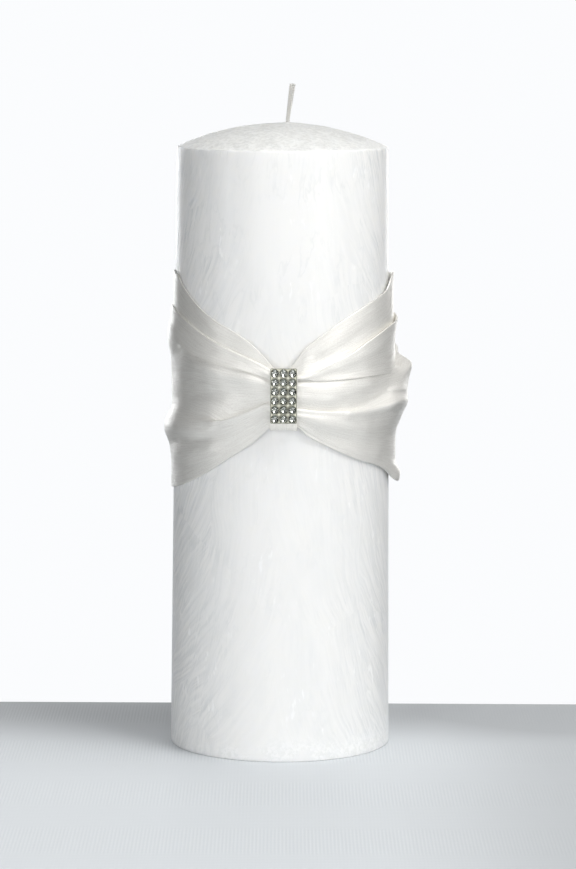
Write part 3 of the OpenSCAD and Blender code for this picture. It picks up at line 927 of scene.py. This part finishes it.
def satin_material(name, tint):
    """Ivory satin: ribs, slubs and floats along the cloth, and a highlight drawn out across them."""
    shade = Shade(name)
    uv = shade.uv("Cloth")
    rib = shade.noise(shade.stretch(uv, 150, 2000, 1), 1.0, 2, 0.5)
    slub = shade.noise(shade.stretch(uv, 55, 620, 1), 1.0, 2, 0.5)
    floats = shade.noise(shade.stretch(uv, 1400, 3800, 1), 1.0, 1, 0.5)
    age = shade.noise(shade.place(), 45, 2)
    fine = shade.plus(shade.times(slub, 0.18), shade.times(floats, 0.38))
    weave = shade.plus(shade.times(rib, 0.44), fine)
    weave = shade.range(weave, 0.34, 0.66)
    low = tuple(c * 0.88 for c in tint)
    high = tuple(min(1, c * 1.05) for c in tint)
    aged = (tint[0], tint[1] * 0.985, tint[2] * 0.95)
    colour = shade.blend(weave, low, high)
    colour = shade.blend(shade.times(age, 0.18), colour, aged)
    shade.set(
        Base_Color=colour,
        Roughness=shade.range(weave, 0, 1, 0.55, 0.42),
        Metallic=0.42,
        Anisotropic=0.75,
        Anisotropic_Rotation=0.25,
        Specular_IOR_Level=0.5,
        Sheen_Weight=0.10,
        Sheen_Roughness=0.4,
        Sheen_Tint=(1.0, 0.985, 0.96),
        Normal=shade.bump(weave, 0.065 * MM, 0.8),
    )
    tangent = shade.node("ShaderNodeTangent", direction_type="UV_MAP", uv_map="Cloth")
    shade.put(shade.surface.inputs["Tangent"], tangent.outputs[0])
    return shade.material


# ---- Centre band ----

# The loop's top edge is drawn down behind the ornament
LOOP_DROP = 1.4 * MM
LOOP_HALF_W = 4.5 * MM
LOOP_CORNER = 1.1 * MM
LOOP_SPACING = 0.9 * MM
TURNING = 2.2 * MM
TURNED_IN = 0.34 * MM


def band_ring(x):
    """Loop round the gather at one place across the band: (y, z) of its middle surface."""
    across = (x - BAND_X) / BAND_HALF_W
    inset = 0.2 * MM
    front = BAND_LOW[1] + inset + LOOP_CORNER
    back = BAND_HIGH[1] - inset - LOOP_CORNER
    low = BAND_LOW[2] + inset - 0.25 * MM * across**2 + LOOP_CORNER
    high = BAND_HIGH[2] - inset - LOOP_DROP - LOOP_CORNER
    ring = []
    for cy, cz, start in [(front, high, 180), (back, high, 90), (back, low, 0), (front, low, -90)]:
        for i in range(7):
            a = math.radians(start - 90 * i / 6)
            ring.append((cy + LOOP_CORNER * math.cos(a), cz + LOOP_CORNER * math.sin(a)))
    dense = []
    for i, (y0, z0) in enumerate(ring):
        y1, z1 = ring[(i + 1) % len(ring)]
        n = max(1, int(round(math.hypot(y1 - y0, z1 - z0) / LOOP_SPACING)))
        dense += [(y0 + (y1 - y0) * k / n, z0 + (z1 - z0) * k / n) for k in range(n)]
    return dense


def band_outline():
    """(place across, depth) over the loop's width, with both raw edges turned in."""
    steps = 22
    face = [(-LOOP_HALF_W + 2 * LOOP_HALF_W * i / steps, 0) for i in range(steps + 1)]
    fold = LOOP_HALF_W + 0.02 * MM
    left = [(-LOOP_HALF_W + TURNING * (1 - i / 4), TURNED_IN) for i in range(5)]
    right = [(LOOP_HALF_W - TURNING * i / 4, TURNED_IN) for i in range(5)]
    return left + [(-fold, TURNED_IN / 2)] + face + [(fold, TURNED_IN / 2)] + right


def make_band(material):
    """Narrow loop that shows a rolled fold at each side."""
    outline = band_outline()
    cols = len(band_ring(BAND_X))
    points = []
    uv = []
    for w, (dx, inner) in enumerate(outline):
        ring = band_ring(BAND_X + dx)[:cols]
        middle = Vector((0, sum(p[0] for p in ring) / cols, sum(p[1] for p in ring) / cols))
        crown = 0.10 * MM * (1 - (dx / LOOP_HALF_W) ** 2)
        for k, (y, z) in enumerate(ring):
            away = (Vector((0, y, z)) - middle).normalized()
            ripple = 0.05 * MM * noise.noise(Vector((dx / (3 * MM), k * 0.25, 2)))
            points.append(Vector((BAND_X + dx, y, z)) + away * (crown + ripple - inner))
            uv.append((k * LOOP_SPACING, w * 0.5 * MM))
    faces = grid_faces(len(outline), cols, wrap=True)
    band = make_piece("satin_loop", points, faces, material, "sash", uv=uv)
    thicken(band, 0.22 * MM)
    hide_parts("centre_band")


# ---- Metal, glass and the small parts ----


def crystal_material():
    """Clear cut glass over a mirror foil on the back facets."""
    shade = Shade("foiled_crystal")
    # The foil starts just behind the girdle
    foil_side = shade.math("GREATER_THAN", shade.split(shade.place())[1], STONE_BACK - 0.79 * MM)
    scuff = shade.noise(shade.place(), 900, 2)
    foil = shade.node(
        "ShaderNodeBsdfPrincipled",
        {"Base Color": (0.64, 0.65, 0.62, 1), "Metallic": 1.0, "Roughness": 0.03},
    )
    shade.set(
        Base_Color=(0.95, 0.965, 0.95),
        Roughness=shade.range(scuff, 0.3, 0.8, 0.0, 0.04),
        IOR=1.58,
        Transmission_Weight=1.0,
    )
    both = shade.node("ShaderNodeMixShader")
    shade.put(both.inputs[0], foil_side)
    shade.put(both.inputs[1], shade.surface.outputs[0])
    shade.put(both.inputs[2], foil.outputs[0])
    shade.tree.links.new(both.outputs[0], shade.output.inputs["Surface"])
    return shade.material


def metal_material(name, tint, roughness, mottle):
    """Plated metal, a little uneven and tarnished in patches."""
    shade = Shade(name)
    place = shade.place()
    uneven = shade.noise(place, mottle, 3, 0.6)
    tarnish = shade.range(shade.noise(place, mottle * 0.35, 2), 0.45, 0.75)
    painted_falloff_shade = tuple(c * f for c, f in zip(tint, (0.72, 0.69, 0.62)))
    shade.set(
        Base_Color=shade.blend(shade.times(tarnish, 0.5), tint, painted_falloff_shade),
        Metallic=1.0,
        Roughness=shade.range(uneven, 0.3, 0.7, roughness, roughness + 0.14),
        Normal=shade.bump(uneven, 0.02 * MM, 0.5),
    )
    return shade.material


def plate_material():
    """Cream moulded plate, bright between the cups, with a dull plated rim."""
    shade = Shade("cream_plate")
    place = shade.place()
    x, _, z = shade.split(place)
    low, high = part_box("ornament_backing")
    edge = 0.35 * MM
    near_edge = []
    for axis, coordinate in ((0, x), (2, z)):
        half = (high[axis] - low[axis]) / 2
        off = shade.math("ABSOLUTE", shade.minus(coordinate, (low[axis] + high[axis]) / 2))
        near_edge.append(shade.range(off, half - edge, half - edge * 0.5))
    rim = shade.math("MAXIMUM", *near_edge)
    mottle = shade.noise(place, 900, 3, 0.6)
    cream = shade.blend(mottle, (0.94, 0.92, 0.72), (0.99, 0.985, 0.90))
    shade.set(
        Base_Color=shade.blend(rim, cream, (0.30, 0.305, 0.25)),
        Metallic=shade.times(rim, 0.8),
        Roughness=shade.range(mottle, 0.3, 0.7, 0.24, 0.4),
        Coat_Weight=0.3,
        Coat_Roughness=0.15,
        Normal=shade.bump(mottle, 0.03 * MM, 0.6),
    )
    return shade.material


def glue_material():
    """Cloudy amber-white fabric glue."""
    shade = Shade("fabric_glue")
    place = shade.place()
    cloud = shade.noise(place, 500, 3, 0.6)
    shade.set(
        Base_Color=shade.blend(cloud, (0.82, 0.79, 0.68), (0.92, 0.90, 0.82)),
        Roughness=shade.range(cloud, 0.3, 0.7, 0.25, 0.4),
        Subsurface_Weight=0.2,
        Subsurface_Scale=0.001,
        Normal=shade.bump(cloud, 0.04 * MM, 0.6),
    )
    return shade.material


def thread_material():
    """Twisted polyester sewing thread."""
    shade = Shade("sewing_thread")
    x, y, z = shade.split(shade.place())
    turns = 14 / MM
    slant = shade.plus(shade.plus(x, y), shade.times(z, 1.6))
    twist = shade.range(shade.math("SINE", shade.times(slant, turns)), -1, 1)
    shade.set(
        Base_Color=shade.blend(twist, (0.74, 0.72, 0.66), (0.92, 0.90, 0.85)),
        Roughness=0.5,
        Sheen_Weight=0.3,
        Normal=shade.bump(twist, 0.05 * MM, 0.6),
    )
    return shade.material


def dress(node, material):
    """Gives a CAD node its finished material."""
    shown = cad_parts[node]
    shown.data.materials.clear()
    shown.data.materials.append(material)


# ---- Stage and light ----

TABLE_BACK = 64 * MM
RIB_PITCH = 1.15 * MM
CORD_PITCH = 1.9 * MM
STRIPE_PITCH = 62.5 * MM
BACKGROUND = (0.965, 0.975, 0.990)
LIGHT_AIM = Vector((0, 0, 0.12))


def table_material():
    """Pale blue-grey cloth with bands of fine ribs, darker towards its back edge and its right
    as painted shade.
    """
    shade = Shade("table_cloth")
    x, y, _ = shade.split(shade.place())
    rib = shade.math("SINE", shade.times(x, 2 * math.pi / RIB_PITCH))
    cord = shade.math("SINE", shade.times(y, 2 * math.pi / CORD_PITCH))
    bands = shade.math("COSINE", shade.times(shade.plus(y, 22 * MM), 2 * math.pi / STRIPE_PITCH))
    rib = shade.times(rib, shade.range(bands, -0.35, 0.35, 0.15, 1.1))
    weave = shade.range(shade.plus(rib, shade.times(cord, 0.45)), -1.6, 1.6)
    mottle = shade.noise(shade.place(), 18, 3)
    colour = shade.blend(weave, (0.59, 0.625, 0.655), (0.65, 0.68, 0.705))
    colour = shade.blend(shade.times(mottle, 0.2), colour, (0.68, 0.70, 0.72))
    # Painted shade: the cloth darkens towards its back edge and its right, where less light falls
    to_back = shade.range(y, -14 * MM, 46 * MM, 0, 0.66)
    to_right = shade.range(x, 25 * MM, 105 * MM, 0, 0.56)
    painted_falloff_shade = shade.math("MINIMUM", shade.plus(to_back, to_right), 0.8)
    colour = shade.blend(painted_falloff_shade, colour, (0.31, 0.325, 0.34))
    shade.set(
        Base_Color=colour,
        Roughness=0.62,
        Sheen_Weight=0.1,
        Normal=shade.bump(weave, 0.10 * MM, 0.45),
    )
    return shade.material


def make_table():
    """Cloth-covered table whose back edge is close behind the candle."""
    half_w, front, thick, rounding = 0.75, -1.05, 0.04, 0.004
    profile = [(front, -thick), (front, -rounding), (front + rounding, 0)]
    for i in range(5):
        a = math.radians(90 - 22.5 * i)
        profile.append((TABLE_BACK - rounding * (1 - math.cos(a)), -rounding * (1 - math.sin(a))))
    profile.append((TABLE_BACK, -thick))
    points = []
    for x in (-half_w, half_w):
        points += [(x, y, z) for y, z in profile]
    n = len(profile)
    faces = [(i, i + 1, n + i + 1, n + i)[::-1] for i in range(n - 1)]
    faces.append((n - 1, 0, n, 2 * n - 1)[::-1])
    faces.append(ring_face(0, n))
    faces.append(ring_face(n, n, flipped=True))
    table = make_piece("table", points, faces, table_material(), None, smooth=False)


def make_world():
    """White surroundings to the eye; much softer as light, so that the lamps shape the candle."""
    world = bpy.data.worlds.new("studio")
    bpy.context.scene.world = world
    world.use_nodes = True
    tree = world.node_tree
    tree.nodes.clear()
    out = tree.nodes.new("ShaderNodeOutputWorld")
    seen = tree.nodes.new("ShaderNodeBackground")
    seen.inputs["Color"].default_value = (*BACKGROUND, 1)
    seen.inputs["Strength"].default_value = 1.0
    lit = tree.nodes.new("ShaderNodeBackground")
    lit.inputs["Color"].default_value = (0.93, 0.965, 1.0, 1)
    lit.inputs["Strength"].default_value = 0.03
    path = tree.nodes.new("ShaderNodeLightPath")
    choose = tree.nodes.new("ShaderNodeMixShader")
    tree.links.new(path.outputs["Is Camera Ray"], choose.inputs[0])
    tree.links.new(lit.outputs[0], choose.inputs[1])
    tree.links.new(seen.outputs[0], choose.inputs[2])
    tree.links.new(choose.outputs[0], out.inputs["Surface"])


def around(azimuth, elevation, distance):
    """A place at that bearing from the middle of the candle: 0 is the front, 90 the right."""
    a, e = math.radians(azimuth), math.radians(elevation)
    way = Vector((math.sin(a) * math.cos(e), -math.cos(a) * math.cos(e), math.sin(e)))
    return LIGHT_AIM + way * distance


def turned_to_aim(at):
    """Placement at a point, facing the middle of the candle."""
    way = LIGHT_AIM - at
    return Matrix.Translation(at) @ way.to_track_quat("-Z", "Y").to_matrix().to_4x4()


def softbox(name, bearing, size, power, tint=(1, 1, 1)):
    """Rectangular lamp. bearing is (azimuth, elevation, distance) and size (width, height)."""
    data = bpy.data.lights.new(name, "AREA")
    data.shape = "RECTANGLE"
    data.size, data.size_y = size
    data.energy = power
    data.color = tint
    lamp = bpy.data.objects.new(name, data)
    bpy.context.scene.collection.objects.link(lamp)
    lamp.matrix_world = turned_to_aim(around(*bearing))
    lamp.visible_camera = False


def flag(name, bearing, size, grey):
    """Card that light and reflections meet but the camera doesn't see."""
    shade = Shade(name)
    shade.set(Base_Color=(grey, grey, grey), Roughness=0.9)
    w, h = size[0] / 2, size[1] / 2
    corners = [(-w, -h, 0), (w, -h, 0), (w, h, 0), (-w, h, 0)]
    card = make_piece(name, corners, [(0, 1, 2, 3)], shade.material, None, smooth=False)
    card.matrix_world = turned_to_aim(around(*bearing))
    card.visible_camera = False


def make_light():
    """The photographer's softboxes; their powers in watts were settled against the photograph."""
    make_world()
    softbox("key", (50, 50, 1.2), (0.5, 0.6), 6.6, (1.0, 0.99, 0.97))
    softbox("top", (60, 81, 1.2), (0.7, 0.7), 7.4)
    softbox("side_fill", (-65, 8, 1.3), (0.45, 0.7), 5.5)
    softbox("front_left", (-20, 13, 1.3), (0.45, 0.7), 3.7)
    softbox("front", (6, 8, 1.3), (0.45, 0.7), 1.9)
    softbox("front_right", (44, 8, 1.3), (0.4, 0.7), 2.3)
    softbox("right", (72, 26, 1.3), (0.45, 0.6), 1.7)
    softbox("right_edge", (92, 10, 1.3), (0.35, 0.6), 0.7)
    softbox("back_left", (-160, 3, 0.9), (0.3, 0.8), 0.6, (0.93, 0.97, 1.0))
    softbox("back_right", (160, 3, 0.9), (0.3, 0.8), 0.6, (0.93, 0.97, 1.0))
    softbox("back", (198, 4, 1.3), (0.8, 0.3), 3.4, (0.97, 0.985, 1.0))
    softbox("back_side", (166, 2, 1.3), (0.6, 0.4), 1.9, (1.0, 0.99, 0.98))
    flag("dark_flag", (-93, 3, 0.42), (0.5, 0.6), 0.02)


# ---- Build ----


def build():
    make_camera()
    make_table()
    make_light()
    make_wax(wax_material())
    make_wick(wick_material())
    satin = satin_material("ivory_satin", (0.965, 0.945, 0.905))
    thread = thread_material()
    make_stitches(make_sash(satin), thread)
    make_band(satin_material("ivory_satin_loop", (0.955, 0.935, 0.89)))
    crystal = crystal_material()
    # The cups' dark tint is partly tarnished plating and partly painted shade, for the dark outlines round
    # the stones
    silver = metal_material("silver_plate", (0.38, 0.38, 0.32), 0.18, 1400)
    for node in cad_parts:
        if node.startswith("stone_"):
            dress(node, crystal)
        if node.startswith("cup_"):
            dress(node, silver)
    dress("ornament_backing", plate_material())
    dress("adhesive_pad", glue_material())
    dress("wick_tab", metal_material("tinned_steel", (0.70, 0.71, 0.72), 0.28, 500))
    dress("gather_thread", thread)
    bpy.context.scene.view_settings.view_transform = "Standard"
    bpy.context.scene.view_settings.look = "None"


build()
